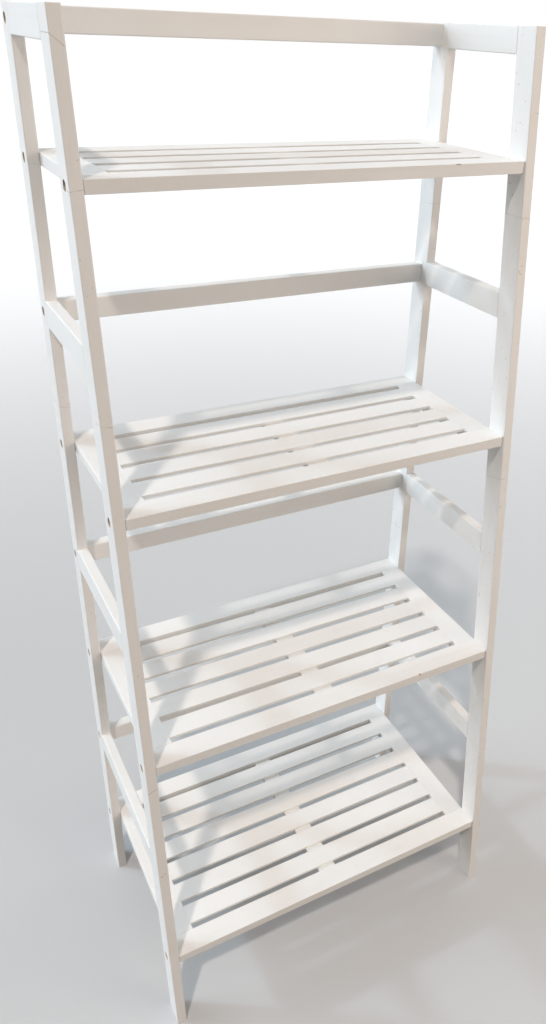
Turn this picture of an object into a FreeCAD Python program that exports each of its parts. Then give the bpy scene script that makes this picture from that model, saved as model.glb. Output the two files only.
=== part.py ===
import FreeCAD, Part
import os
import re
import Sketcher

# A stepped etagere of painted wood. Two side frames, each an upright rear leg and a front leg that
# leans back, carry four slatted shelves that grow deeper towards the floor. Slim back rails tie the
# rear legs together. X runs to the right, Y to the back and Z up, in millimetres. The floor is at
# zero height, and zero across and in depth is the middle of the footprint.

doc = FreeCAD.newDocument("Etagere")

# Driving sizes: name, millimetres, meaning.
SIZES = [
    ("overall_width", "600", "over the outer faces of the side frames"),
    ("overall_height", "1425", "floor to the tops of the legs"),
    ("depth_at_floor", "364", "front of the leaning legs to the back of the upright legs, at the floor"),
    ("depth_at_top", "217", "the same distance at the tops of the legs"),
    ("leg_thickness", "15", "legs and side rails, measured across the piece"),
    ("leg_width", "36", "legs, measured square to their length"),
    ("side_rail_height", "36", "the three lower rails of a side frame"),
    ("top_rail_height", "32", "the rail level with the tops of the legs"),
    ("rail_drop", "175", "top of a shelf down to the top of the side rail below it"),
    ("back_rail_height", "28", "back rails, bottom to top"),
    ("back_rail_thickness", "18", "back rails, front to back"),
    ("back_rail_inset", "4", "back of the rails in front of the back of the legs"),
    ("back_rail_rise", "2", "underside of a back rail above that of the side rails"),
    ("lowest_shelf_height", "145", "floor to the top of the lowest shelf"),
    ("highest_shelf_drop", "152", "tops of the legs down to the top of the highest shelf"),
    ("shelf_thickness", "15", "front and rear rails and end boards of a shelf"),
    ("shelf_setback", "2", "front of a shelf behind the front of the legs"),
    ("shelf_end_width", "36", "end boards of a shelf, measured across the piece"),
    ("slat_gap", "7.5", "open slot between neighbouring slats"),
    ("slat_thickness", "5", "thin slats of a shelf, level with its top"),
    ("slat_tongue", "3", "thickness of the tongue at each end of a slat"),
    ("batten_width", "31", "batten under the middle of the slats"),
    ("batten_thickness", "9", "the same batten, bottom to top"),
    ("edge_chamfer", "1", "eased arris along every long edge"),
    ("corner_radius", "3", "front corners of a shelf, seen from above"),
    ("tenon_length", "8", "stub tenons on rails, end boards and slats"),
    ("tenon_thickness", "5", "the same tenons"),
    ("tenon_shoulder", "4", "shoulder above and below, or beside, a tenon"),
    ("fit_clearance", "0.1", "room on every side of a tenon in its mortise or a screw in the wood"),
    ("shank_width", "5", "six-sided shank of a furniture screw, across its flats"),
    ("screw_length", "45", "shank below the head"),
    ("screw_head_diameter", "10", "cylindrical head"),
    ("screw_head_height", "4", "cylindrical head"),
    ("screw_clearance", "0.25", "room around the shank in a leg"),
    ("screw_end_room", "3", "hole left beyond the end of a screw"),
    ("counterbore_depth", "7", "hole for the head in the outer face of a leg"),
    ("counterbore_room", "1", "room around the head in the same hole"),
    ("cut_overrun", "2", "how far a cut is drawn past the face that it opens"),
]

sheet = doc.addObject("Spreadsheet::Sheet", "Sizes")
for row, (alias, millimetres, meaning) in enumerate(SIZES, 1):
    sheet.set(f"A{row}", alias)
    sheet.set(f"B{row}", millimetres)
    sheet.set(f"C{row}", meaning)
    sheet.setAlias(f"B{row}", alias)
doc.recompute()

ALIASES = {alias for alias, millimetres, meaning in SIZES}


def sized(text):
    """The expression with every size named through the sheet."""
    return re.sub(r"[a-z_]+", lambda m: "Sizes." + m[0] if m[0] in ALIASES else m[0], text)


def value(text):
    """The number that an expression comes to."""
    return float(sheet.evalExpression(sized(text)))


# Places derived from the sizes, as expressions.
INNER_WIDTH = "(overall_width - 2 * leg_thickness)"
SIDE_X = "(overall_width / 2 - leg_thickness / 2)"
BACK_Y = "(depth_at_floor / 2)"
LEAN = "((depth_at_floor - depth_at_top) / overall_height)"
LEAN_WIDTH = f"(leg_width * sqrt(1 + {LEAN} ^ 2))"
MORTISE_DEPTH = "(tenon_length + fit_clearance)"
COUNTERBORE = "(screw_head_diameter + 2 * counterbore_room)"
LEG_HOLE = "(shank_width + 2 * screw_clearance)"
PILOT_HOLE = "(shank_width + 2 * fit_clearance)"
PILOT_DEPTH = "(screw_length - leg_thickness + counterbore_depth + screw_end_room)"

# Shelves from the floor up, evenly spaced, and the number of boards that lie across each, front and
# rear rails included. The rail of the same place stands above its shelf.
LEVELS = ["lower", "middle", "upper", "top"]
BOARD_COUNTS = [8, 7, 6, 5]
TOP_LEVEL = len(LEVELS) - 1
SHELF_PITCH = f"((overall_height - highest_shelf_drop - lowest_shelf_height) / {TOP_LEVEL})"


def front_y(z):
    """Front of the leaning legs at a height."""
    return f"({LEAN} * ({z}) - depth_at_floor / 2)"


def shelf_top(level):
    return f"(lowest_shelf_height + {level} * {SHELF_PITCH})"


def shelf_middle(level):
    return f"({shelf_top(level)} - shelf_thickness / 2)"


def shelf_front(level):
    return f"({front_y(shelf_top(level))} + shelf_setback)"


def shelf_depth(level):
    return f"({BACK_Y} - {shelf_front(level)})"


def slat_width(level):
    boards = BOARD_COUNTS[level]
    return f"(({shelf_depth(level)} - {boards - 1} * slat_gap) / {boards})"


def rail_height(level):
    return "top_rail_height" if level == TOP_LEVEL else "side_rail_height"


def rail_bottom(level):
    """Underside of the side rails that stand above a shelf."""
    if level == TOP_LEVEL:
        return "(overall_height - top_rail_height)"
    return f"({shelf_top(level + 1)} - rail_drop - side_rail_height)"


def back_rail_bottom(level):
    return f"({rail_bottom(level)} + back_rail_rise)"


def back_screw_z(level):
    return f"({back_rail_bottom(level)} + back_rail_height / 2)"


REAR_SCREW_Y = f"({BACK_Y} - leg_width / 2)"
BACK_SCREW_Y = f"({BACK_Y} - back_rail_inset - back_rail_thickness / 2)"


def front_screw_y(level):
    return f"({front_y(shelf_middle(level))} + {LEAN_WIDTH} / 2)"


# Building blocks. Every piece is drawn square to the axes and then moved to its place.
nodes = []


def new_body(label, x="0", y="0", z="0", node=True):
    body = doc.addObject("PartDesign::Body", label)
    body.Label = label
    for axis, text in zip("xyz", (x, y, z)):
        body.setExpression(f"Placement.Base.{axis}", sized(text))
    if node:
        nodes.append(body)
    return body


def origin_of(body, role):
    return next(item for item in body.Origin.OriginFeatures if item.Role == role)


def new_sketch(body, plane, offset="0"):
    sketch = body.newObject("Sketcher::SketchObject", body.Label + "_sketch")
    sketch.AttachmentSupport = [(origin_of(body, plane), "")]
    sketch.MapMode = "FlatFace"
    sketch.setExpression("AttachmentOffset.Base.z", sized(offset))
    return sketch


def bind(sketch, kind, *places, to):
    """A dimension of the sketch that follows an expression."""
    index = sketch.addConstraint(Sketcher.Constraint(kind, *places, value(to)))
    sketch.setExpression(f"Constraints[{index}]", sized(to))


def draw_outline(sketch, corners):
    """A closed outline of straight lines through corners given as pairs of expressions."""
    points = [FreeCAD.Vector(value(u), value(v), 0) for u, v in corners]
    count = len(points)
    first = sketch.GeometryCount
    for i in range(count):
        sketch.addGeometry(Part.LineSegment(points[i], points[(i + 1) % count]))
    for i in range(count):
        sketch.addConstraint(Sketcher.Constraint("Coincident", first + i, 2, first + (i + 1) % count, 1))
    for i, (u, v) in enumerate(corners):
        bind(sketch, "DistanceX", -1, 1, first + i, 1, to=u)
        bind(sketch, "DistanceY", -1, 1, first + i, 1, to=v)


def draw_box(sketch, u0, v0, u1, v1):
    draw_outline(sketch, [(u0, v0), (u1, v0), (u1, v1), (u0, v1)])


def draw_circle(sketch, u, v, diameter):
    centre = FreeCAD.Vector(value(u), value(v), 0)
    circle = Part.Circle(centre, FreeCAD.Vector(0, 0, 1), value(diameter) / 2)
    index = sketch.addGeometry(circle)
    bind(sketch, "DistanceX", -1, 1, index, 3, to=u)
    bind(sketch, "DistanceY", -1, 1, index, 3, to=v)
    bind(sketch, "Diameter", index, to=diameter)


def draw_hexagon(sketch, u, v, across):
    """A six-sided outline about a middle, with two of its flats level."""
    flat = f"({across} / 2)"
    corner = f"({across} / sqrt(3))"
    shares = [("1", "0"), ("0.5", "1"), ("-0.5", "1"), ("-1", "0"), ("-0.5", "-1"), ("0.5", "-1")]
    draw_outline(sketch, [(f"{u} + {a} * {corner}", f"{v} + {b} * {flat}") for a, b in shares])


def raise_pad(body, sketch, length, both_ways=False, against_normal=False):
    pad = body.newObject("PartDesign::Pad", body.Label + "_pad")
    pad.Profile = sketch
    pad.setExpression("Length", sized(length))
    pad.Reversed = against_normal
    if both_ways:
        pad.SideType = "Symmetric"
    doc.recompute()
    return pad


def cut_pocket(body, sketch, depth, both_ways=False, along_normal=False):
    before = body.Shape.Volume
    pocket = body.newObject("PartDesign::Pocket", body.Label + "_pocket")
    pocket.Profile = sketch
    pocket.setExpression("Length", sized(depth))
    pocket.Reversed = along_normal
    if both_ways:
        pocket.SideType = "Symmetric"
    doc.recompute()
    if not body.Shape.Volume < before:
        raise RuntimeError(f"{body.Label}: a cut takes nothing away")
    return pocket


def edges_of(feature, wanted):
    return [f"Edge{i}" for i, edge in enumerate(feature.Shape.Edges, 1) if wanted(edge)]


def ease(body, feature, wanted):
    """Take off the arris of the edges that the test picks."""
    chamfer = body.newObject("PartDesign::Chamfer", body.Label + "_easing")
    chamfer.Base = (feature, edges_of(feature, wanted))
    chamfer.setExpression("Size", sized("edge_chamfer"))
    doc.recompute()
    return chamfer


def round_corners(body, feature, wanted):
    fillet = body.newObject("PartDesign::Fillet", body.Label + "_corners")
    fillet.Base = (feature, edges_of(feature, wanted))
    fillet.setExpression("Radius", sized("corner_radius"))
    doc.recompute()
    return fillet


PARALLEL_SHARE = 0.9999


def runs_along(x, y, z):
    wanted = FreeCAD.Vector(x, y, z).normalize()

    def test(edge):
        straight = isinstance(edge.Curve, Part.Line)
        return straight and abs(edge.Curve.Direction.dot(wanted)) > PARALLEL_SHARE

    return test


# Legs. Mortises for the side rails open on the faces that look at each other, and every screw has a
# hole through the leg with a counterbore on the outer face.
def finish_leg(body, side, mortises, holes):
    sketch = new_sketch(body, "YZ_Plane")
    for corners in mortises:
        draw_outline(sketch, corners)
    cut_pocket(body, sketch, "tenon_thickness + 2 * fit_clearance", both_ways=True)
    sketch = new_sketch(body, "YZ_Plane")
    for y, z in holes:
        draw_hexagon(sketch, y, z, LEG_HOLE)
    cut_pocket(body, sketch, "leg_thickness + 2 * cut_overrun", both_ways=True)
    sketch = new_sketch(body, "YZ_Plane", f"{side} * leg_thickness / 2")
    for y, z in holes:
        draw_circle(sketch, y, z, COUNTERBORE)
    cut_pocket(body, sketch, "counterbore_depth", along_normal=side < 0)


def mortise_span(level):
    low = f"({rail_bottom(level)} + tenon_shoulder - fit_clearance)"
    high = f"({rail_bottom(level)} + {rail_height(level)} - tenon_shoulder + fit_clearance)"
    return low, high


def make_rear_leg(name, side):
    body = new_body(f"{name}_rear_leg", f"{side} * {SIDE_X}", f"{BACK_Y} - leg_width")
    sketch = new_sketch(body, "XY_Plane")
    draw_box(sketch, "-leg_thickness / 2", "0", "leg_thickness / 2", "leg_width")
    pad = raise_pad(body, sketch, "overall_height")
    ease(body, pad, runs_along(0, 0, 1))
    mortises = []
    holes = []
    for level in range(len(LEVELS)):
        low, high = mortise_span(level)
        mortises.append([
            ("-cut_overrun", low),
            (MORTISE_DEPTH, low),
            (MORTISE_DEPTH, high),
            ("-cut_overrun", high),
        ])
        holes.append(("leg_width / 2", shelf_middle(level)))
        holes.append((f"{BACK_SCREW_Y} - {BACK_Y} + leg_width", back_screw_z(level)))
    finish_leg(body, side, mortises, holes)


def make_front_leg(name, side):
    body = new_body(f"{name}_front_leg", f"{side} * {SIDE_X}", "-depth_at_floor / 2")
    sketch = new_sketch(body, "XY_Plane")
    draw_box(sketch, "-leg_thickness / 2", "0", "leg_thickness / 2", LEAN_WIDTH)
    pad = body.newObject("PartDesign::Pad", body.Label + "_pad")
    pad.Profile = sketch
    pad.UseCustomVector = True
    pad.Direction = FreeCAD.Vector(0, value(LEAN), 1)
    pad.setExpression("Direction.y", sized(LEAN))
    pad.AlongSketchNormal = True
    pad.setExpression("Length", sized("overall_height"))
    doc.recompute()
    ease(body, pad, runs_along(0, value(LEAN), 1))
    mortises = []
    holes = []
    for level in range(len(LEVELS)):
        low, high = mortise_span(level)
        low_face = f"{LEAN} * {low} + {LEAN_WIDTH}"
        high_face = f"{LEAN} * {high} + {LEAN_WIDTH}"
        mortises.append([
            (f"{low_face} - {MORTISE_DEPTH}", low),
            (f"{low_face} + cut_overrun", low),
            (f"{high_face} + cut_overrun", high),
            (f"{high_face} - {MORTISE_DEPTH}", high),
        ])
        z = shelf_middle(level)
        holes.append((f"{LEAN} * {z} + {LEAN_WIDTH} / 2", z))
    finish_leg(body, side, mortises, holes)


# Side rails, square to the rear leg and cut to the lean of the front leg, with a tenon at each end.
def make_side_rail(name, side, level):
    place = LEVELS[level]
    height = rail_height(level)
    bottom = rail_bottom(level)
    rear_y = f"({BACK_Y} - leg_width)"
    body = new_body(f"{name}_{place}_side_rail", f"{side} * {SIDE_X}", rear_y, bottom)

    def front(z, reach="0"):
        return f"{front_y(f'{bottom} + {z}')} + {LEAN_WIDTH} - {rear_y} - {reach}"

    sketch = new_sketch(body, "YZ_Plane")
    draw_outline(sketch, [("0", "0"), ("0", height), (front(height), height), (front("0"), "0")])
    pad = raise_pad(body, sketch, "leg_thickness", both_ways=True)
    ease(body, pad, runs_along(0, 1, 0))
    low = "tenon_shoulder"
    high = f"({height} - tenon_shoulder)"
    sketch = new_sketch(body, "YZ_Plane")
    draw_outline(sketch, [
        ("tenon_length", low),
        ("tenon_length", high),
        (front(high, "tenon_length"), high),
        (front(low, "tenon_length"), low),
    ])
    raise_pad(body, sketch, "tenon_thickness", both_ways=True)


# Back rails between the rear legs, with a hole for a screw in each end.
def cut_end_holes(body, y, z):
    for side in (1, -1):
        sketch = new_sketch(body, "YZ_Plane", f"{side} * {INNER_WIDTH} / 2")
        draw_hexagon(sketch, y, z, PILOT_HOLE)
        cut_pocket(body, sketch, PILOT_DEPTH, along_normal=side < 0)


def make_back_rail(level):
    place = LEVELS[level]
    body = new_body(f"{place}_back_rail", "0", BACK_SCREW_Y, back_rail_bottom(level))
    half_length = f"{INNER_WIDTH} / 2"
    half_thickness = "back_rail_thickness / 2"
    sketch = new_sketch(body, "XY_Plane")
    draw_box(sketch, f"-{half_length}", f"-{half_thickness}", half_length, half_thickness)
    pad = raise_pad(body, sketch, "back_rail_height")
    ease(body, pad, runs_along(1, 0, 0))
    cut_end_holes(body, "0", "back_rail_height / 2")


# Shelves. A front and a rear rail run the full length and end boards are tenoned between them. Thin
# slats are let into the end boards, level with the top, and a batten carries their middle.
def make_shelf_rail(level, name, side):
    place = LEVELS[level]
    width = slat_width(level)
    front = shelf_front(level)
    if side < 0:
        inner_y = f"({front} + {width})"
        screw_y = f"{front_screw_y(level)} - {inner_y}"
    else:
        inner_y = f"({BACK_Y} - {width})"
        screw_y = f"{REAR_SCREW_Y} - {inner_y}"
    body = new_body(f"{place}_shelf_{name}_rail", "0", inner_y, f"{shelf_top(level)} - shelf_thickness")
    half_length = f"{INNER_WIDTH} / 2"
    sketch = new_sketch(body, "XY_Plane")
    draw_box(sketch, f"-{half_length}", "0", half_length, f"{side} * {width}")
    solid = raise_pad(body, sketch, "shelf_thickness")
    if side < 0:
        upright = runs_along(0, 0, 1)
        middle_y = solid.Shape.CenterOfMass.y
        solid = round_corners(body, solid, lambda edge: upright(edge) and edge.CenterOfMass.y < middle_y)
    ease(body, solid, runs_along(1, 0, 0))
    cut_end_holes(body, screw_y, "shelf_thickness / 2")
    sketch = new_sketch(body, "XY_Plane", "shelf_thickness / 2")
    for end in (1, -1):
        draw_box(
            sketch,
            f"{end} * ({half_length} - tenon_shoulder + fit_clearance)",
            f"-{side} * cut_overrun",
            f"{end} * ({half_length} - shelf_end_width + tenon_shoulder - fit_clearance)",
            f"{side} * {MORTISE_DEPTH}",
        )
    cut_pocket(body, sketch, "tenon_thickness + 2 * fit_clearance", both_ways=True)


def slat_y(level, index):
    """Middle of a slat, from the front of its shelf."""
    return f"(({index} + 0.5) * {slat_width(level)} + {index} * slat_gap)"


def make_shelf_end(level, name, side):
    place = LEVELS[level]
    width = slat_width(level)
    x = f"{side} * ({INNER_WIDTH} / 2 - shelf_end_width / 2)"
    y = f"{shelf_front(level)} + {shelf_depth(level)} / 2"
    body = new_body(f"{place}_shelf_{name}_end", x, y, f"{shelf_top(level)} - shelf_thickness")
    half_width = "shelf_end_width / 2"
    half_length = f"({shelf_depth(level)} / 2 - {width})"
    sketch = new_sketch(body, "XY_Plane")
    draw_box(sketch, f"-{half_width}", f"-{half_length}", half_width, half_length)
    pad = raise_pad(body, sketch, "shelf_thickness")
    ease(body, pad, runs_along(0, 1, 0))
    tenon_half = f"({half_width} - tenon_shoulder)"
    tenon_end = f"({half_length} + tenon_length)"
    sketch = new_sketch(body, "XY_Plane", "shelf_thickness / 2")
    draw_box(sketch, f"-{tenon_half}", f"-{tenon_end}", tenon_half, tenon_end)
    raise_pad(body, sketch, "tenon_thickness", both_ways=True)
    sketch = new_sketch(body, "XY_Plane", "shelf_thickness - slat_thickness / 2")
    for index in range(1, BOARD_COUNTS[level] - 1):
        middle = f"{slat_y(level, index)} - {shelf_depth(level)} / 2"
        reach = f"({width} / 2 - tenon_shoulder + fit_clearance)"
        draw_box(
            sketch,
            f"-{side} * ({half_width} + cut_overrun)",
            f"{middle} - {reach}",
            f"-{side} * ({half_width} - {MORTISE_DEPTH})",
            f"{middle} + {reach}",
        )
    cut_pocket(body, sketch, "slat_tongue + 2 * fit_clearance", both_ways=True)


def make_slat(level, index):
    place = LEVELS[level]
    y = f"{shelf_front(level)} + {slat_y(level, index)}"
    body = new_body(f"{place}_shelf_slat_{index}", "0", y, f"{shelf_top(level)} - slat_thickness")
    half_width = f"{slat_width(level)} / 2"
    half_length = f"({INNER_WIDTH} / 2 - shelf_end_width)"
    sketch = new_sketch(body, "XY_Plane")
    draw_box(sketch, f"-{half_length}", f"-{half_width}", half_length, half_width)
    pad = raise_pad(body, sketch, "slat_thickness")
    ease(body, pad, runs_along(1, 0, 0))
    tenon_half = f"({half_width} - tenon_shoulder)"
    tenon_end = f"({half_length} + tenon_length)"
    sketch = new_sketch(body, "XY_Plane", "slat_thickness / 2")
    draw_box(sketch, f"-{tenon_end}", f"-{tenon_half}", tenon_end, tenon_half)
    raise_pad(body, sketch, "slat_tongue", both_ways=True)


def make_batten(level):
    place = LEVELS[level]
    y = f"{shelf_front(level)} + {shelf_depth(level)} / 2"
    bottom = f"{shelf_top(level)} - slat_thickness - batten_thickness"
    body = new_body(f"{place}_shelf_batten", "0", y, bottom)
    half_width = "batten_width / 2"
    half_length = f"({shelf_depth(level)} / 2 - {slat_width(level)})"
    sketch = new_sketch(body, "XY_Plane")
    draw_box(sketch, f"-{half_width}", f"-{half_length}", half_width, half_length)
    pad = raise_pad(body, sketch, "batten_thickness")
    along = runs_along(0, 1, 0)
    middle_z = pad.Shape.CenterOfMass.z
    ease(body, pad, lambda edge: along(edge) and edge.CenterOfMass.z < middle_z)


for side_name, side_sign in (("left", -1), ("right", 1)):
    make_rear_leg(side_name, side_sign)
    make_front_leg(side_name, side_sign)
    for number in range(len(LEVELS)):
        make_side_rail(side_name, side_sign, number)
for number, board_count in enumerate(BOARD_COUNTS):
    make_back_rail(number)
    make_shelf_rail(number, "front", -1)
    make_shelf_rail(number, "rear", 1)
    make_shelf_end(number, "left", -1)
    make_shelf_end(number, "right", 1)
    for slat in range(1, board_count - 1):
        make_slat(number, slat)
    make_batten(number)


# The furniture screw is drawn once and then set in every hole. It points along X with the underside
# of its head at zero. A plain six-sided shank takes the place of the thread.
screw = new_body("screw", node=False)
head = new_sketch(screw, "YZ_Plane")
draw_circle(head, "0", "0", "screw_head_diameter")
raise_pad(screw, head, "screw_head_height", against_normal=True)
shank = new_sketch(screw, "YZ_Plane")
draw_hexagon(shank, "0", "0", "shank_width")
raise_pad(screw, shank, "screw_length")


def set_screws(label, places):
    """One node that holds a screw at every place, turned so that its head faces outwards."""
    copies = []
    for y, z in places:
        for side, degrees in ((-1, 0), (1, 180)):
            shape = screw.Shape.copy()
            x = f"{side} * (overall_width / 2 - counterbore_depth)"
            seat = FreeCAD.Vector(value(x), value(y), value(z))
            turn = FreeCAD.Rotation(FreeCAD.Vector(0, 0, 1), degrees)
            shape.Placement = FreeCAD.Placement(seat, turn)
            copies.append(shape)
    group = doc.addObject("Part::Feature", label)
    group.Label = label
    group.Shape = Part.makeCompound(copies)
    group.Placement = FreeCAD.Placement()
    nodes.append(group)


shelf_places = []
back_places = []
for number in range(len(LEVELS)):
    shelf_places.append((front_screw_y(number), shelf_middle(number)))
    shelf_places.append((REAR_SCREW_Y, shelf_middle(number)))
    back_places.append((BACK_SCREW_Y, back_screw_z(number)))
set_screws("shelf_screws", shelf_places)
set_screws("back_rail_screws", back_places)

doc.recompute()
for item in doc.Objects:
    if "Invalid" in item.State or "Error" in item.State:
        raise RuntimeError(f"{item.Label} is not sound")
for item in nodes:
    if item.Shape.isNull() or not item.Shape.isValid():
        raise RuntimeError(f"{item.Label} has no sound shape")

os.makedirs("parts", exist_ok=True)
for item in nodes:
    item.Shape.exportStep(f"parts/{item.Label}.step")
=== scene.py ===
# %% [markdown]
# # A white slatted etagere that steps back as it rises
#
# The piece is a narrow, open stand of painted wood: two upright rear legs, two front legs that lean
# back, rails that tie them together, and four slatted shelves that grow shallower towards the top.
# Its solids already say where every board is, so this lesson gives them what they lack: rounded
# edges, hairline joints, drilled holes with screws in them, and paint with the wood's grain under it.

# %% Load the frame
import math
import random

import bmesh
import bpy
from mathutils import Matrix, Vector


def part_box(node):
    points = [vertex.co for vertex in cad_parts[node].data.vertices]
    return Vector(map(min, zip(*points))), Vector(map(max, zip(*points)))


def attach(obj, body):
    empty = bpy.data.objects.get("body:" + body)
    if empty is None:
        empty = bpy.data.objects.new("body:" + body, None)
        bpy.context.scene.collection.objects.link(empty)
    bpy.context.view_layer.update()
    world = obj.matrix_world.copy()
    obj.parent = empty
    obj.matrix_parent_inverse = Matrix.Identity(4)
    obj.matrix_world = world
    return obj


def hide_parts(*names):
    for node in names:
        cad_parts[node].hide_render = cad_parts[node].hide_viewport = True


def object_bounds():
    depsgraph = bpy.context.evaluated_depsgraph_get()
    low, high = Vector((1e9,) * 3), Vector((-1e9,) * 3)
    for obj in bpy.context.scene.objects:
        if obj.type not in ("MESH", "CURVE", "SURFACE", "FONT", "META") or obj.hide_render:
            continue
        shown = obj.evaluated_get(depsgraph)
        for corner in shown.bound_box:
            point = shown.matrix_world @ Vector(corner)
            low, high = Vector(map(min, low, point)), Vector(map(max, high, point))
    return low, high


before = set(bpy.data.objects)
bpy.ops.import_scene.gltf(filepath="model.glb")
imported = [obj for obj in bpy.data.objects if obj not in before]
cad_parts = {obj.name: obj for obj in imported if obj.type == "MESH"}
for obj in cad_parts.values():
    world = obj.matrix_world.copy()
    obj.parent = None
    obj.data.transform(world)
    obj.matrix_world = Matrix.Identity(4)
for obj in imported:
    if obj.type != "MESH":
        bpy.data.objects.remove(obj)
cad_low, cad_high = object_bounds()
print("frame box in metres:", [round(v, 4) for v in cad_high - cad_low])

# %% [markdown]
# ## Shader sums
#
# A finish is mostly arithmetic on patterns: a little of this noise, less of that one. Adding Math
# nodes by hand hides that sum, so one small class wraps a socket and lets Python's own operators add
# the nodes. Every other kind of node comes from its one method, `node`, and the kinds that every
# finish needs have a short method of their own that calls it.


# %% A socket that takes part in sums
class Wire:
    def __init__(self, socket):
        self.socket = socket
        self.tree = socket.id_data

    def node(self, kind, settings, sockets, out=0):
        made = self.tree.nodes.new("ShaderNode" + kind)
        for name, value in settings.items():
            setattr(made, name, value)
        for name, value in sockets.items():
            if isinstance(value, Wire):
                self.tree.links.new(value.socket, made.inputs[name])
            else:
                made.inputs[name].default_value = value
        return Wire(made.outputs[out])

    def math(self, operation, first, second):
        return self.node("Math", {"operation": operation}, {0: first, 1: second})

    def __add__(self, other):
        return self.math("ADD", self, other)

    def __radd__(self, other):
        return self.math("ADD", other, self)

    def __sub__(self, other):
        return self.math("SUBTRACT", self, other)

    def __rsub__(self, other):
        return self.math("SUBTRACT", other, self)

    def __mul__(self, other):
        return self.math("MULTIPLY", self, other)

    def __rmul__(self, other):
        return self.math("MULTIPLY", other, self)

    def noise(self, scale, detail, roughness=0.5):
        """Noise at the place that this wire carries."""
        return self.node("TexNoise", {}, {"Vector": self, "Scale": scale, "Detail": detail,
                                          "Roughness": roughness}, "Fac")

    def rise(self, low, high):
        """0 below low, 1 above high and a smooth step between them."""
        return self.node("MapRange", {"interpolation_type": "SMOOTHSTEP"},
                         {"Value": self, "From Min": low, "From Max": high})

    def blend(self, first, second):
        """The colour first where this wire is 0, and second where it is 1."""
        return self.node("Mix", {"data_type": "RGBA"}, {0: self, 6: first, 7: second}, 2)

    def feed(self, shader, name):
        self.tree.links.new(self.socket, shader.inputs[name])

    def bump(self, shader, strength, distance):
        """Let this wire be the height of the surface."""
        raised = {"Strength": strength, "Distance": distance, "Height": self}
        self.node("Bump", {}, raised).feed(shader, "Normal")


print("a wire can:", [name for name in vars(Wire) if not name.startswith("__")])


# %% Colours as they look, and a new finish
def written(red, green, blue):
    """A colour given as it looks on a screen, from 0 to 255, as the shader's linear numbers."""
    def linear(value):
        value /= 255
        return value / 12.92 if value <= 0.04045 else ((value + 0.055) / 1.055) ** 2.4
    return (linear(red), linear(green), linear(blue), 1.0)


def new_finish(name):
    material = bpy.data.materials.new(name)
    material.use_nodes = True
    tree = material.node_tree
    shader = tree.nodes["Principled BSDF"]
    where = Wire(tree.nodes.new("ShaderNodeTexCoord").outputs["Object"])
    return material, shader, where


CLEAN_WHITE, SOFT_WHITE = written(238, 238, 237), written(234, 233, 231)
print("white of the paint, linear:", [round(v, 3) for v in CLEAN_WHITE])

# %% [markdown]
# ## White paint with pine under it
#
# The stand is brush-painted in a satin white. Close up, the paint shows five things: slow changes of
# tone, the growth rings of the softwood standing slightly proud, fine brush lines along each board,
# edges where the coat is thinner and warmer, and a few small specks, most of them on the legs. The warm
# tint of the edges also paints on the warm light that rounded edges catch. A picture of paint would
# repeat itself, so all but the edges are noises. Rings and brush lines are stretched along the board,
# which is why there is one paint for each of the three directions a board can run. Every board carries
# a number of its own that shifts the noise, so that neighbours never share a streak. An edge is found by
# its normal: on a flat face nearly all of the normal lies along one axis, and on a rounded edge it is
# shared between two.

# %% Patterns of a painted board
BOARD_SHIFT = (3.1, 5.7, 4.3)
RING_GRAIN = {"across": 95.0, "length": 2.4, "detail": 3.0}
BRUSH_LINES = {"across": 620.0, "length": 9.0, "detail": 1.0}


def own_place(where):
    """The place on the board, shifted by the board's number."""
    number = where.node("Attribute", {"attribute_name": "board"}, {}, "Fac")
    shift = where.node("VectorMath", {"operation": "SCALE"}, {0: BOARD_SHIFT, "Scale": number})
    return where.node("VectorMath", {"operation": "ADD"}, {0: where, 1: shift})


def streaks(place, along, across, length, detail):
    scale = [across] * 3
    scale[along] = length
    stretched = place.node("Mapping", {}, {"Vector": place, "Scale": scale})
    return stretched.noise(scale=1.0, detail=detail, roughness=0.55)


def rounded_edge(where):
    """1 on a rounded edge and 0 on a flat face."""
    normal = where.node("NewGeometry", {}, {}, "Normal")
    size = where.node("VectorMath", {"operation": "ABSOLUTE"}, {0: normal})
    x, y, z = [where.node("SeparateXYZ", {}, {0: size}, axis) for axis in range(3)]
    largest = x.math("MAXIMUM", x.math("MAXIMUM", x, y), z)
    return (1.0 - largest).rise(0.03, 0.24)


print("rings and brush lines per metre across a board:", RING_GRAIN["across"], BRUSH_LINES["across"])

# %% Paint for boards that run across, front to back, and upright
# The edge tint is warm: the coat is thinner there, and the tint also paints on the warm light that rounded
# edges catch.
RING_CREAM, THIN_COAT_AND_EDGE_LIGHT, SPECK_BROWN = written(229, 225, 218), written(232, 224, 213), written(178, 156, 132)
SPECKS_FROM = {"across": 0.88, "deep": 0.88, "upright": 0.805}
SPECK_BORDER = 0.04


def white_paint(name, along, specks_from):
    material, shader, where = new_finish(name)
    place = own_place(where)
    rings = streaks(place, along, **RING_GRAIN)
    brush = streaks(place, along, **BRUSH_LINES)
    tone = place.noise(scale=6.0, detail=2.0)
    specks = place.noise(scale=300.0, detail=0.0)
    speck = specks.rise(specks_from, specks_from + SPECK_BORDER)
    # Rounded edges, where the coat is thinner and where warm edge light is painted on.
    rubbed_and_lit_edge = rounded_edge(where) * tone.rise(0.42, 0.68)

    white = tone.rise(0.30, 0.70).blend(CLEAN_WHITE, SOFT_WHITE)
    white = (rings.rise(0.52, 0.78) * 0.30).blend(white, RING_CREAM)
    white = (speck * 0.42).blend(white, SPECK_BROWN)
    white = (rubbed_and_lit_edge * 0.35).blend(white, THIN_COAT_AND_EDGE_LIGHT)
    white.feed(shader, "Base Color")
    (0.33 + 0.14 * tone + 0.08 * brush + 0.10 * rubbed_and_lit_edge).feed(shader, "Roughness")
    height = 0.60 * rings + 0.28 * brush + 0.12 * tone - 0.6 * speck
    height.bump(shader, strength=0.22, distance=0.0008)
    return material


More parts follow.
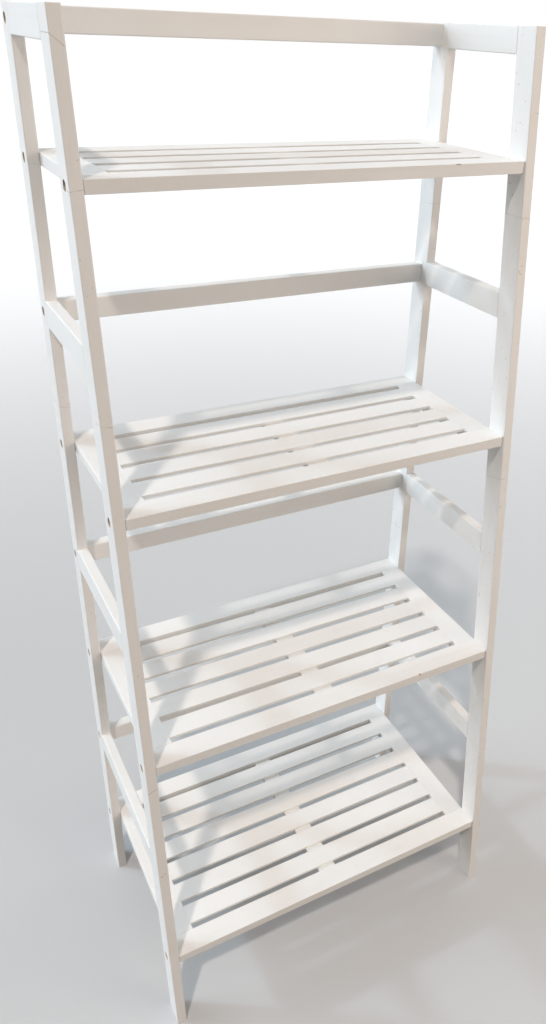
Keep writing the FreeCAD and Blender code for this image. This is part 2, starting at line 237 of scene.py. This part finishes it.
paints = [white_paint("white_paint_" + way, axis, specks_from)
          for axis, (way, specks_from) in enumerate(SPECKS_FROM.items())]
print("paints:", [paint.name for paint in paints])

# %% [markdown]
# ## Bare wood, old glue and steel, with painted shade in holes and cracks
#
# The walls of the screw holes are brownish wood, a little burnt by the drill, and darker than the paint:
# the colour stands partly for bare wood and partly for painted shade deep in the holes.
# Where a leg is joined from shorter lengths, old glue darkens the joint, and its darker colour also
# paints the shade of the hairline crack there. The screws sit deep in their holes, and their plain steel
# is dulled by a faint haze. These finishes have no direction that shows at their size, apart from the
# wood's fibres, so plain noises are enough.

# %% The three bare finishes, two of them also carrying painted shade
PALE_WOOD, DARK_WOOD, BURNT_WOOD = written(216, 202, 184), written(196, 178, 158), written(150, 128, 108)
PALE_GLUE, DARK_GLUE = written(226, 221, 214), written(184, 170, 154)
CLEAN_STEEL, DULL_STEEL = written(176, 173, 168), written(148, 144, 138)


# A brownish wood darker than the paint: bare wood on the walls of the nicks, and in the screw holes also
# painted shade.
def drilled_wood_and_shade():
    material, shader, where = new_finish("drilled_wood_and_shade")
    along_fibres = where.node("Mapping", {}, {"Vector": where, "Scale": (900.0, 900.0, 90.0)})
    fibres = along_fibres.noise(scale=1.0, detail=3.0)
    burn = where.noise(scale=160.0, detail=1.0).rise(0.45, 0.7) * 0.5
    wood = fibres.rise(0.3, 0.7).blend(PALE_WOOD, DARK_WOOD)
    burn.blend(wood, BURNT_WOOD).feed(shader, "Base Color")
    (0.70 + 0.2 * fibres).feed(shader, "Roughness")
    fibres.bump(shader, strength=0.5, distance=0.0003)
    return material


# A brown darker than the paint: old glue in the joints, and also painted shade in the hairline cracks.
def old_glue_and_crack_shade():
    material, shader, where = new_finish("old_glue_and_crack_shade")
    blotch = where.noise(scale=90.0, detail=2.0)
    blotch.rise(0.35, 0.65).blend(PALE_GLUE, DARK_GLUE).feed(shader, "Base Color")
    (0.55 + 0.2 * blotch).feed(shader, "Roughness")
    blotch.bump(shader, strength=0.3, distance=0.0002)
    return material


def turned_steel():
    material, shader, where = new_finish("turned_steel")
    haze = where.noise(scale=400.0, detail=2.0)
    fine = where.noise(scale=2600.0, detail=1.0)
    shader.inputs["Metallic"].default_value = 1.0
    haze.rise(0.3, 0.7).blend(CLEAN_STEEL, DULL_STEEL).feed(shader, "Base Color")
    (0.28 + 0.18 * haze + 0.06 * fine).feed(shader, "Roughness")
    fine.bump(shader, strength=0.15, distance=0.0001)
    return material


bare_wood_and_shade, glue_and_shade, steel = drilled_wood_and_shade(), old_glue_and_crack_shade(), turned_steel()
print("bare finishes:", bare_wood_and_shade.name, glue_and_shade.name, steel.name)

# %% [markdown]
# ## Measuring the lean
#
# The front legs lean back by a few degrees, and the side rails and shelves follow them. The lean could
# be typed in as a number, but the frame already holds it: the lowest and highest points of a front leg
# give it.

# %% The lean of the front legs
AT_END = 0.0002
leg_points = [vertex.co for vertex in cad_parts["left_front_leg"].data.vertices]
foot = [co.y for co in leg_points if co.z < cad_low.z + AT_END]
head = [co.y for co in leg_points if co.z > cad_high.z - AT_END]
LEAN = (min(head) - min(foot)) / (cad_high.z - cad_low.z)
LEG_FRONT, LEG_REAR = min(foot), max(foot)
print("front legs lean", round(math.degrees(math.atan(LEAN)), 2), "degrees,",
      round((LEG_REAR - LEG_FRONT) * 1000, 2), "mm deep at the floor")

# %% [markdown]
# ## A board with eased edges
#
# Every wooden piece starts as a cube scaled to its board. A joiner rounds the long edges with a router
# and only breaks the ends with sandpaper, so the long edges get a larger, rounder bevel than the ends.
# Where two boards butt, the two broken ends leave the fine groove that shows as a joint line.

# %% Raw boards and their edges
CROSS, DEEP, UPRIGHT = range(3)
LONG_EDGE, BROKEN_END = 0.0016, 0.00015
ROUND_STEPS, BROKEN_STEPS = 4, 2
NEARLY_ALONG, TOUCHING = 0.9, 0.0001


def raw_board(low, high):
    bm = bmesh.new()
    bmesh.ops.create_cube(bm, size=1.0)
    bmesh.ops.scale(bm, vec=high - low, verts=bm.verts)
    bmesh.ops.translate(bm, vec=(low + high) / 2, verts=bm.verts)
    return bm


def round_edges(bm, edges, radius, segments):
    bmesh.ops.bevel(bm, geom=edges, offset=radius, offset_type="OFFSET", segments=segments,
                    profile=0.5, affect="EDGES", clamp_overlap=True, material=-1)


def on_side(edge, axis, level):
    return all(abs(vertex.co[axis] - level) < TOUCHING for vertex in edge.verts)


def ease(bm, along, long_radius=LONG_EDGE, end_radius=BROKEN_END, flush=None):
    """Round the long edges and break the ends; edges on the flush side are only broken."""
    runs = [edge for edge in bm.edges
            if abs((edge.verts[1].co - edge.verts[0].co).normalized()[along]) > NEARLY_ALONG]
    tight = [edge for edge in runs if flush and on_side(edge, *flush)]
    round_edges(bm, [edge for edge in runs if edge not in tight], long_radius, ROUND_STEPS)
    if tight:
        round_edges(bm, [edge for edge in tight if edge.is_valid], end_radius, BROKEN_STEPS)
    bm.normal_update()
    ends = [edge for edge in bm.edges
            if any(abs(face.normal[along]) > NEARLY_ALONG for face in edge.link_faces)]
    round_edges(bm, ends, end_radius, BROKEN_STEPS)


print("long edges rounded by", LONG_EDGE * 1000, "mm, ends broken by", BROKEN_END * 1000, "mm")

# %% Leaning boards, clean meshes and finished boards
SAME_POINT = 0.000002
painted = []


def lean_back(bm, vertices):
    shear = Matrix.Identity(4)
    shear[DEEP][UPRIGHT] = LEAN
    bmesh.ops.transform(bm, matrix=shear, verts=vertices)


def merge_points(bm):
    """Merge points that nearly coincide, and drop the faces that this leaves without area."""
    bmesh.ops.remove_doubles(bm, verts=bm.verts, dist=SAME_POINT)
    bmesh.ops.dissolve_degenerate(bm, edges=bm.edges, dist=SAME_POINT)


def to_mesh(bm, name):
    mesh = bpy.data.meshes.new(name)
    bm.to_mesh(mesh)
    bm.free()
    return mesh


def add_object(name, data):
    thing = bpy.data.objects.new(name, data)
    bpy.context.collection.objects.link(thing)
    return thing


def stand_for(piece, node):
    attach(piece, "root")
    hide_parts(node)


def finish_board(bm, node, along):
    merge_points(bm)
    bmesh.ops.recalc_face_normals(bm, faces=bm.faces)
    board = add_object("painted_" + node, to_mesh(bm, "painted_" + node))
    board.data.materials.append(paints[along])
    number = board.data.attributes.new("board", "FLOAT", "POINT")
    number.data.foreach_set("value", [float(len(painted))] * len(board.data.vertices))
    stand_for(board, node)
    painted.append(board)
    return board


print("a leaning board steps back", round(LEAN * 1000, 1), "mm in every metre of height")

# %% [markdown]
# ## Joint lines in the legs
#
# Long boards of cheap softwood are finger-jointed from shorter lengths, and the glue lines show through
# the paint as hairlines across the leg. A dark line in the paint would look drawn on, so each one is a
# real groove: three cuts close together, and the middle one pushed a fraction of a millimetre inwards.
# The two slopes of the groove show old glue, whose darker brown also paints the shade of the hairline
# crack.

# %% A hairline groove across a leg
WIDE_LINE, FINE_LINE, LINE_DEPTH = 0.00035, 0.00020, 0.00016
CUT_SNAP = 1e-6
GLUE_AND_SHADE_SLOT = 1


def hairline(bm, at, tilt, width):
    direction = Vector((*tilt, 1.0)).normalized()
    for offset in (-width, width, 0.0):
        cut = bmesh.ops.bisect_plane(bm, geom=bm.verts[:] + bm.edges[:] + bm.faces[:], dist=CUT_SNAP,
                                     plane_co=at + direction * offset, plane_no=direction)
    ring = [item for item in cut["geom_cut"] if isinstance(item, bmesh.types.BMVert)]
    bm.normal_update()
    for vertex in ring:
        vertex.co -= vertex.normal * LINE_DEPTH
        for face in vertex.link_faces:
            # The groove's slopes take the glue colour, which also paints the shade of the crack.
            face.material_index = GLUE_AND_SHADE_SLOT


print("hairlines are", WIDE_LINE * 2000, "or", FINE_LINE * 2000, "mm wide")

# %% [markdown]
# ## Legs
#
# The rear legs stand upright and the front legs lean, so a front leg is the same board pushed over by a
# shear, which keeps its foot and its top level as on the real stand. A glue line is given by its height
# and by how much it tilts along the leg's two sides. The lines that the photograph shows, on the front
# legs, stand at its heights, and the others are made up.

# %% The four legs
LEG_EDGE, LEG_END = 0.0015, 0.0006
GLUE_LINES = {
    "left_front_leg": [(0.4850, -0.32, 0.0), (1.0147, 0.18, 0.0),
                       (1.2627, -0.13, 0.0), (1.3944, 0.80, 0.0)],
    "right_front_leg": [(0.312, 0.15, 0.05), (0.8245, 0.05, 0.27), (1.2032, 0.08, 0.0)],
    "left_rear_leg": [(0.428, 0.0, 0.08), (0.951, 0.2, 0.0)],
    "right_rear_leg": [(0.236, 0.0, -0.06), (0.604, 0.1, 0.05), (1.184, 0.0, 0.08)],
}
legs = {}
for leg_name, lines in GLUE_LINES.items():
    low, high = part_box(leg_name)
    leans = "front" in leg_name
    if leans:
        low.y, high.y = LEG_FRONT, LEG_REAR
    bm = raw_board(low, high)
    if leans:
        lean_back(bm, bm.verts)
    ease(bm, UPRIGHT, LEG_EDGE, LEG_END)
    for height, *tilt in lines:
        middle = Vector(((low.x + high.x) / 2, (low.y + high.y) / 2, height))
        if leans:
            middle.y += LEAN * height
        hairline(bm, middle, tilt, WIDE_LINE if leg_name == "left_front_leg" else FINE_LINE)
    legs[leg_name] = finish_board(bm, leg_name, UPRIGHT)
    legs[leg_name].data.materials.append(glue_and_shade)
print("legs:", {name: len(leg.data.polygons) for name, leg in legs.items()})

# %% [markdown]
# ## Screw holes in the legs
#
# Each shelf and each back rail is screwed on from outside, with the head sunk in a round hole. Cutting a
# round hole into a flat board is one of the few things a Boolean does best. The places of the holes
# aren't typed in: they are the middles of the screw heads in the frame.

# %% Find the screw heads
HEAD_FACE, HEAD_WIDTH = 0.0003, 0.012


def head_places(node):
    """The middle of every group of points on the outermost faces, left and right."""
    groups = []
    points = [vertex.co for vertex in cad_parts[node].data.vertices]
    reach = max(abs(co.x) for co in points)
    for co in points:
        if abs(co.x) < reach - HEAD_FACE:
            continue
        for group in groups:
            if (group[0] - co).length < HEAD_WIDTH:
                group.append(co)
                break
        else:
            groups.append([co])
    return [sum(group, Vector()) / len(group) for group in groups]


heads = {node: head_places(node) for node in ("shelf_screws", "back_rail_screws")}
print("screw heads:", {node: len(found) for node, found in heads.items()})


# %% Cut a shape out of a board
def carve(board, cutter_bm):
    """The board's mesh with the cutter's shape taken out, and a bmesh of it to work on."""
    cutter = add_object("cutter", to_mesh(cutter_bm, "cutter"))
    cut = board.modifiers.new("cut", "BOOLEAN")
    cut.operation, cut.solver, cut.object = "DIFFERENCE", "EXACT", cutter
    carved = board.evaluated_get(bpy.context.evaluated_depsgraph_get())
    shaped = bpy.data.meshes.new_from_object(carved)
    board.modifiers.remove(cut)
    bpy.data.objects.remove(cutter)
    # The cut walls take the darker wood colour; in the screw holes it also paints the shade inside them.
    shaped.materials.append(bare_wood_and_shade)
    bm = bmesh.new()
    bm.from_mesh(shaped)
    return shaped, bm


def give_bare_wood_and_shade(shaped, wall):
    for face in wall:
        face.material_index = len(shaped.materials) - 1


def keep_carved(board, shaped, bm):
    merge_points(bm)
    bm.to_mesh(shaped)
    bm.free()
    board.data = shaped


print("a carved wall is finished with", bare_wood_and_shade.name)

# %% Drill the legs
HOLE_RADIUS, HOLE_DEPTH, HOLE_RIM = 0.006, 0.007, 0.0003
HOLE_SIDES, DRILL_LENGTH = 40, 0.02
BELOW_RIM, PAST_BOTTOM = 0.0004, 0.001
ON_FACE, ON_CIRCLE = 1e-5, 2e-5


def hole_cutter(places):
    cutter_bm = bmesh.new()
    for place in places:
        side = math.copysign(1.0, place.x)
        middle = Vector((side * (cad_high.x - HOLE_DEPTH + DRILL_LENGTH / 2), place.y, place.z))
        turn = Matrix.Translation(middle) @ Matrix.Rotation(math.pi / 2, 4, "Y")
        bmesh.ops.create_cone(cutter_bm, cap_ends=True, segments=HOLE_SIDES, radius1=HOLE_RADIUS,
                              radius2=HOLE_RADIUS, depth=DRILL_LENGTH, matrix=turn)
    return cutter_bm


def in_hole(face, place, outer):
    middle = face.calc_center_median()
    depth = outer - abs(middle.x)
    within = (middle.yz - place.yz).length < HOLE_RADIUS + TOUCHING
    return within and BELOW_RIM < depth < HOLE_DEPTH + PAST_BOTTOM


def on_rim(edge, place, outer):
    return all(abs(abs(vertex.co.x) - outer) < ON_FACE
               and abs((vertex.co.yz - place.yz).length - HOLE_RADIUS) < ON_CIRCLE
               for vertex in edge.verts)


rear_leg_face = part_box("left_rear_leg")[0].y
for leg_name, leg in legs.items():
    low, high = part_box(leg_name)
    outer = max(abs(low.x), abs(high.x))
    mine = [place for found in heads.values() for place in found
            if place.x * low.x > 0 and (place.y > rear_leg_face) == ("rear" in leg_name)]
    shaped, bm = carve(leg, hole_cutter(mine))
    # The hole walls take the darker wood colour, which also paints the shade inside the holes.
    give_bare_wood_and_shade(shaped, [face for face in bm.faces if any(in_hole(face, place, outer) for place in mine)])
    rims = [edge for edge in bm.edges if any(on_rim(edge, place, outer) for place in mine)]
    round_edges(bm, rims, HOLE_RIM, BROKEN_STEPS)
    keep_carved(leg, shaped, bm)
    print(leg_name, "holes:", len(mine), "rim edges:", len(rims))

# %% [markdown]
# ## Side rails
#
# Four short rails tie each pair of legs. Their rear ends are square and butt against the upright leg;
# their front ends are cut to the lean. Only the front corners of the board are sheared, which cuts that
# end at the right angle without a saw.

# %% The eight side rails
PLACES = ("lower", "middle", "upper", "top")
SIDE_RAIL_EDGE = 0.0015
for side in ("left", "right"):
    for place in PLACES:
        node = f"{side}_{place}_side_rail"
        low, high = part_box(node)
        low.y, high.y = LEG_REAR, rear_leg_face
        bm = raw_board(low, high)
        lean_back(bm, [vertex for vertex in bm.verts if vertex.co.y < (low.y + high.y) / 2])
        ease(bm, DEEP, SIDE_RAIL_EDGE)
        finish_board(bm, node, DEEP)
print("side rails:", sum("side_rail" in board.name for board in painted))

# %% [markdown]
# ## Back rails
#
# A back rail runs between the rear legs above each shelf. It is a plain eased board.

# %% The four back rails
for place in PLACES:
    node = place + "_back_rail"
    bm = raw_board(*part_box(node))
    ease(bm, CROSS)
    finish_board(bm, node, CROSS)
print("back rails:", sum("back_rail" in board.name for board in painted))

# %% [markdown]
# ## Shelves
#
# A shelf is a flat frame: a front and a rear rail of full length, two end boards between them, and thin
# slats with open slots. All the slats are planed from one stock, so they are equally wide and the slots
# take up what is left: each slat keeps its middle, and its long edges and those of the two rails stand
# back alike. The slats end in hidden tongues, so here a slat stops at the face of the end board. Nobody
# lays slats perfectly: each one is a fraction of a millimetre off, which breaks up the highlights along
# the slots.

# %% The frame of a shelf
FRAME_EDGE, FRAME_END, FRONT_CORNER = 0.0020, 0.0006, 0.003
END_BOARD_EDGE = 0.0012


def front_rail(node, low, high):
    bm = raw_board(low, high)
    middle = (low.y + high.y) / 2
    corners = [edge for edge in bm.edges if edge.verts[0].co.y < middle
               and abs(edge.verts[0].co.z - edge.verts[1].co.z) > TOUCHING]
    round_edges(bm, corners, FRONT_CORNER, ROUND_STEPS)
    ease(bm, CROSS, FRAME_EDGE, FRAME_END, flush=(DEEP, high.y))
    finish_board(bm, node, CROSS)


def rear_rail(node, low, high):
    bm = raw_board(low, high)
    ease(bm, CROSS, FRAME_EDGE, FRAME_END, flush=(DEEP, low.y))
    finish_board(bm, node, CROSS)


def end_board(node, low, high, inner_side):
    bm = raw_board(low, high)
    ease(bm, DEEP, END_BOARD_EDGE, flush=(CROSS, inner_side))
    finish_board(bm, node, DEEP)


print("front corners of a shelf rounded by", FRONT_CORNER * 1000, "mm")

# %% The slats and the batten of a shelf
SLAT_WIDTH, SLAT_EDGE, SLAT_PLAY = 0.034, 0.0006, 0.00035
BATTEN_EDGE, BATTEN_END = 0.0012, 0.0008
lay = random.Random(11)


def slat(node, low, high):
    bm = raw_board(low, high)
    bmesh.ops.translate(bm, vec=(0.0, lay.uniform(-SLAT_PLAY, SLAT_PLAY), 0.0), verts=bm.verts)
    ease(bm, CROSS, SLAT_EDGE)
    finish_board(bm, node, CROSS)


def batten(node, low, high):
    bm = raw_board(low, high)
    ease(bm, DEEP, BATTEN_EDGE, BATTEN_END)
    finish_board(bm, node, DEEP)


print("slats are", SLAT_WIDTH * 1000, "mm wide and lie within", SLAT_PLAY * 1000, "mm of their place")

# %% The four shelves
for place in PLACES:
    shelf = place + "_shelf_"
    front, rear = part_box(shelf + "front_rail"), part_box(shelf + "rear_rail")
    left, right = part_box(shelf + "left_end"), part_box(shelf + "right_end")
    low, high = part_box(shelf + "slat_1")
    stand_back = (high.y - low.y - SLAT_WIDTH) / 2
    front[1].y -= stand_back
    rear[0].y += stand_back
    front_rail(shelf + "front_rail", *front)
    rear_rail(shelf + "rear_rail", *rear)

    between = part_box(shelf + "batten")
    for low, high in (left, right, between):
        low.y, high.y = front[1].y, rear[0].y
    end_board(shelf + "left_end", *left, inner_side=left[1].x)
    end_board(shelf + "right_end", *right, inner_side=right[0].x)

    for node in sorted(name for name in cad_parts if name.startswith(shelf + "slat_")):
        low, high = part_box(node)
        low.x, high.x = left[1].x, right[0].x
        low.y += stand_back
        high.y -= stand_back
        slat(node, low, high)
    batten(shelf + "batten", *between)
    print(shelf + "slats stand back by", round(stand_back * 1000, 2), "mm")
print("painted boards:", len(painted))

# %% [markdown]
# ## Nicks
#
# Two shelf edges were knocked, and a splinter of paint and wood is gone. A nick painted on would vanish
# when seen along the edge, so a small squashed ball is cut out of the board, and the wall that it leaves
# is bare wood.

# %% Knock two nicks into the front rails
NICKS = {
    "middle_shelf_front_rail": (0.152, (0.0024, 0.0011, 0.0028)),
    "top_shelf_front_rail": (0.179, (0.0042, 0.0014, 0.0014)),
}
NICK_INWARDS, NICK_DOWN, NICK_JAGS = 0.0003, 0.0004, 0.12
WALL_REACH, WALL_FACE = 1.3, 2e-6


def nick(board, place, size):
    cutter_bm = bmesh.new()
    squash = Matrix.Translation(place) @ Matrix.Diagonal((*size, 1.0))
    bmesh.ops.create_icosphere(cutter_bm, subdivisions=3, radius=1.0, matrix=squash)
    for vertex in cutter_bm.verts:
        vertex.co += (vertex.co - place) * lay.uniform(-NICK_JAGS, NICK_JAGS)
    shaped, bm = carve(board, cutter_bm)

    wall = []
    for face in bm.faces:
        step = face.calc_center_median() - place
        reach = sum((step[axis] / size[axis]) ** 2 for axis in range(3))
        if reach < WALL_REACH and face.calc_area() < WALL_FACE:
            wall.append(face)
    give_bare_wood_and_shade(shaped, wall)
    keep_carved(board, shaped, bm)
    return len(wall)


for board in painted:
    node = board.name.removeprefix("painted_")
    if node in NICKS:
        across, size = NICKS[node]
        low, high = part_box(node)
        place = Vector((across, low.y + NICK_INWARDS, high.z - NICK_DOWN))
        print(node, "nick faces:", nick(board, place, size))

# %% [markdown]
# ## Screws
#
# The screws have flat heads with a hexagon socket. The socket is what makes a head read as a screw, so
# the face of the head is a ring bridged between a circle and a hexagon, and the hexagon is extruded
# inwards and closed.

# %% One screw with a hexagon socket
HEAD_RADIUS, HEAD_HEIGHT, HEAD_EDGE = 0.005, 0.004, 0.0004
SOCKET_RADIUS, SOCKET_DEPTH = 0.0027, 0.0022
SHANK_RADIUS, TIP_RADIUS, SHANK_LENGTH = 0.0024, 0.00096, 0.040
HEAD_SIDES, SOCKET_SIDES, SHANK_SIDES = 36, 6, 12


def ring_of_edges(bm, segments, radius):
    circle = bmesh.ops.create_circle(bm, segments=segments, radius=radius)["verts"]
    return [edge for edge in bm.edges if all(vertex in circle for vertex in edge.verts)]


def push_down(bm, edges, depth):
    """Extrude a ring of edges downwards and close it."""
    grown = bmesh.ops.extrude_edge_only(bm, edges=edges)["geom"]
    vertices = [item for item in grown if isinstance(item, bmesh.types.BMVert)]
    bmesh.ops.translate(bm, vec=(0.0, 0.0, -depth), verts=vertices)
    bmesh.ops.edgeloop_fill(bm, edges=[item for item in grown if isinstance(item, bmesh.types.BMEdge)
                                       and all(vertex in vertices for vertex in item.verts)])


def socket_screw():
    bm = bmesh.new()
    rim = ring_of_edges(bm, HEAD_SIDES, HEAD_RADIUS)
    socket = ring_of_edges(bm, SOCKET_SIDES, SOCKET_RADIUS)
    bmesh.ops.bridge_loops(bm, edges=rim + socket)
    push_down(bm, socket, SOCKET_DEPTH)
    push_down(bm, rim, HEAD_HEIGHT)
    round_edges(bm, rim, HEAD_EDGE, BROKEN_STEPS)
    below = Matrix.Translation((0, 0, -HEAD_HEIGHT - SHANK_LENGTH / 2))
    bmesh.ops.create_cone(bm, cap_ends=True, segments=SHANK_SIDES, radius1=TIP_RADIUS,
                          radius2=SHANK_RADIUS, depth=SHANK_LENGTH, matrix=below)
    return bm


print("screw length in mm:", round((HEAD_HEIGHT + SHANK_LENGTH) * 1000, 1))


# %% Screws in all the holes
def screw_set(node):
    whole = bmesh.new()
    for place in heads[node]:
        bm = socket_screw()
        side = math.copysign(1.0, place.x)
        turn = Matrix.Translation(place) @ Matrix.Rotation(side * math.pi / 2, 4, "Y")
        spin = Matrix.Rotation(lay.uniform(0, math.pi), 4, "Z")
        bmesh.ops.transform(bm, matrix=turn @ spin, verts=bm.verts)
        bmesh.ops.recalc_face_normals(bm, faces=bm.faces)
        one = to_mesh(bm, "one_screw")
        whole.from_mesh(one)
        bpy.data.meshes.remove(one)
    screws = add_object("socket_" + node, to_mesh(whole, "socket_" + node))
    screws.data.materials.append(steel)
    stand_for(screws, node)
    return screws


for node in heads:
    print(screw_set(node).name, "screws:", len(heads[node]))

# %% [markdown]
# ## Floor and light
#
# A pale floor carries the shadow and runs into a white surround, which only the camera and reflections
# see. For the light that it throws back, the floor is darker than it looks, so that the shelves keep
# their shade from below. The light is a soft surround, a little warm, and six plain lamps. Five of them
# are distant, so that every shelf gets the same light. Two are small and draw the shadows: a warm one
# high in front on the left, and a cool one behind on the left. Three are wide, like open sky: one low
# behind on the left, one overhead, and a weaker one at the right, so that no side of the stand is left
# dark. The wide ones add no gloss, because paint already mirrors the white surround, and both together
# would bleach the shelves. The last, a warm lamp, stands at the front on the right.

# %% Floor
FLOOR_SIZE, FADE_FROM, FADE_TO = 40.0, 0.6, 5.0
FLOOR_BOUNCE, FLOOR_SEEN = written(112, 107, 101), written(198, 200, 202)
NO_GLOW, FAR_GLOW = (0.0, 0.0, 0.0, 1.0), (0.45, 0.45, 0.45, 1.0)


def seen_ray(wire):
    """1 for rays that show the surround: straight to the camera, in a reflection or through glass."""
    camera, glossy, through = [wire.node("LightPath", {}, {}, f"Is {kind} Ray")
                               for kind in ("Camera", "Glossy", "Transmission")]
    return wire.math("MAXIMUM", camera, wire.math("MAXIMUM", glossy, through))


floor_bm = bmesh.new()
bmesh.ops.create_grid(floor_bm, x_segments=1, y_segments=1, size=FLOOR_SIZE)
floor = add_object("floor", to_mesh(floor_bm, "floor"))

floor_finish, floor_shader, floor_where = new_finish("pale_floor")
floor_shader.inputs["Roughness"].default_value = 0.9
floor_shader.inputs["Emission Strength"].default_value = 1.0
in_view = seen_ray(floor_where)
distance = floor_where.node("VectorMath", {"operation": "LENGTH"}, {0: floor_where}, "Value")
in_view.blend(FLOOR_BOUNCE, FLOOR_SEEN).feed(floor_shader, "Base Color")
far_in_view = in_view * distance.rise(FADE_FROM, FADE_TO)
far_in_view.blend(NO_GLOW, FAR_GLOW).feed(floor_shader, "Emission Color")
floor.data.materials.append(floor_finish)
print("floor:", floor.name)

# %% Surround
SOFT_LIGHT, WHITE = (0.25, 0.225, 0.20, 1.0), (1.0, 1.0, 1.0, 1.0)
world = bpy.data.worlds.new("studio")
bpy.context.scene.world = world
world.use_nodes = True
sky = world.node_tree.nodes["Background"]
around = Wire(world.node_tree.nodes.new("ShaderNodeTexCoord").outputs["Object"])
seen_ray(around).blend(SOFT_LIGHT, WHITE).feed(sky, "Color")
print("surround light:", SOFT_LIGHT[:3])

# %% Lamps
LAMP_AIM = Vector((0.0, 0.0, 0.7))
SKY_SIZE = 45.0


def point_lamp(name, kind, place, colour, strength, size):
    """A lamp aimed at the stand; a sun's size is in degrees, and an area lamp's in metres."""
    data = bpy.data.lights.new(name, kind)
    data.energy, data.color = strength, colour
    if kind == "SUN":
        data.angle = math.radians(size)
    else:
        data.shape, data.size = "SQUARE", size
    lamp = add_object(name, data)
    lamp.visible_glossy = size < SKY_SIZE
    lamp.location = place
    lamp.rotation_euler = (LAMP_AIM - lamp.location).to_track_quat("-Z", "Y").to_euler()
    return lamp


lamps = [
    point_lamp("rear_key", "SUN", (-3.255, 2.35, 3.685), (0.57, 0.83, 1.0), 0.55, 3.0),
    point_lamp("high_key", "SUN", (-2.075, -2.25, 5.7), (1.0, 0.885, 0.80), 1.27, 3.0),
    point_lamp("low_sky", "SUN", (-3.2, 2.4, 1.9), (0.826, 0.917, 1.0), 2.42, 50.0),
    point_lamp("high_sky", "SUN", (-0.6, 0.4, 5.7), (0.80, 0.91, 1.0), 0.34, 70.0),
    point_lamp("right_fill", "SUN", (4.0, 0.8, 1.1), (0.77, 0.88, 1.0), 1.15, 50.0),
    point_lamp("front_fill", "AREA", (1.6, -2.2, 1.6), (1.0, 0.84, 0.72), 25.6, 1.6),
]
print("lamps:", [lamp.name for lamp in lamps])

# %% [markdown]
# ## Camera
#
# The camera stands close, a little above the top shelf and to the left, and looks down. Close in, the
# legs converge strongly, so its place matters more than its lens. The photograph is cropped off centre,
# and the lens shift follows that crop.

# %% The camera of the photograph
camera_data = bpy.data.cameras.new("photograph")
camera_data.lens, camera_data.sensor_width = 29.71, 36.0
camera_data.shift_x, camera_data.shift_y = -0.0584, -0.0072
camera_data.clip_start, camera_data.clip_end = 0.01, 200.0
camera = add_object("photograph", camera_data)
camera.matrix_world = Matrix((
    (0.8754777, 0.20890129, -0.43577408, -0.50158),
    (-0.48153639, 0.45315914, -0.75017965, -0.94930),
    (0.04076151, 0.86660663, 0.49732429, 1.42155),
    (0.0, 0.0, 0.0, 1.0),
))
bpy.context.scene.camera = camera
bpy.context.scene.view_settings.view_transform = "Standard"
print("camera height:", round(camera.location.z, 3))

# %% [markdown]
# ## Size
#
# The dressed stand has to be the size of its solids.
